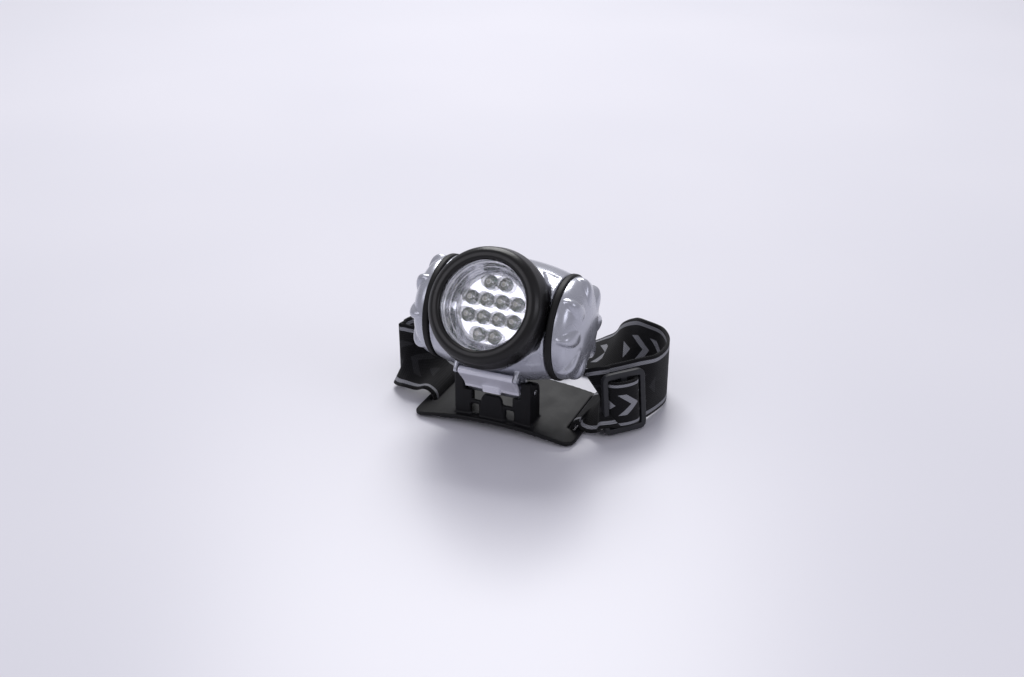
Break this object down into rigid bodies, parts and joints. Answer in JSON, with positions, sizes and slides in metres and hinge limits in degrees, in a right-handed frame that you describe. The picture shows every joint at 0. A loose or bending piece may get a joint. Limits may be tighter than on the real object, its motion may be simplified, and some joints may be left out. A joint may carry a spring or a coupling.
{
  "type": "headlamp",
  "caption": "Headlamp with a silver barrel head, round black bezel over clustered LEDs, tilting hinge, curved forehead plate and elastic strap with slider buckle.",
  "frame": {"origin": "middle of the foam forehead pad's inner face", "axes": "+X along the barrel to the wearer's side with the buckle, +Z away from the forehead, -Y towards the hinge edge of the plate, which the lamp faces at rest"},
  "size_m": [0.11, 0.0981, 0.0722],
  "materials": {
    "black_plastic": "satin",
    "bezel_plastic": "satin",
    "foam": "matte",
    "steel": "polished",
    "webbing": "matte",
    "grey_plastic": "satin",
    "silver_paint": "satin",
    "rubber": "matte",
    "clear_plastic": "polished",
    "chrome": "polished",
    "circuit_board": "satin",
    "cell_jacket": "gloss",
    "nickel": "satin",
    "led_epoxy": "polished"
  },
  "bodies": {
    "base": {"base_plate": "black_plastic", "forehead_pad": "foam", "hinge_pin": "steel", "head_strap": "webbing", "strap_buckle": "grey_plastic"},
    "head": {"front_housing": "silver_paint", "rear_housing": "silver_paint", "left_end_cap": "silver_paint", "right_end_cap": "silver_paint", "left_o_ring": "rubber", "right_o_ring": "rubber", "bezel": "bezel_plastic", "lens": "clear_plastic", "lens_gasket": "rubber", "reflector": "chrome", "led_board": "circuit_board", "switch_module": "black_plastic", "battery_1": "cell_jacket", "battery_2": "cell_jacket", "battery_3": "cell_jacket", "battery_spring_1": "nickel", "battery_spring_2": "nickel", "battery_spring_3": "nickel", "contact_plate_left": "nickel", "contact_plate_right": "nickel", "battery_tray": "black_plastic", "latch_pin": "steel", "led_01": "led_epoxy", "led_02": "led_epoxy", "led_03": "led_epoxy", "led_04": "led_epoxy", "led_05": "led_epoxy", "led_06": "led_epoxy", "led_07": "led_epoxy", "led_08": "led_epoxy", "led_09": "led_epoxy", "led_10": "led_epoxy", "led_11": "led_epoxy", "led_12": "led_epoxy"},
    "switch_button": {"switch_button": "rubber"},
    "case_latch": {"case_latch": "silver_paint"}
  },
  "joints": [
    {"name": "head_tilt", "type": "hinge", "parent": "base", "child": "head", "pos_m": [0, -0.0145, 0.0142], "axis": [1, 0, 0], "range_deg": [-57, 8]},
    {"name": "switch_press", "type": "slide", "parent": "head", "child": "switch_button", "axis": [0, -0.848, -0.5299], "range_m": [0, 0.0007], "stiffness_N_per_m": 900},
    {"name": "latch_open", "type": "hinge", "parent": "head", "child": "case_latch", "pos_m": [0, -0.02565, 0.02416], "axis": [1, 0, 0], "range_deg": [-60, 0]}
  ]
}
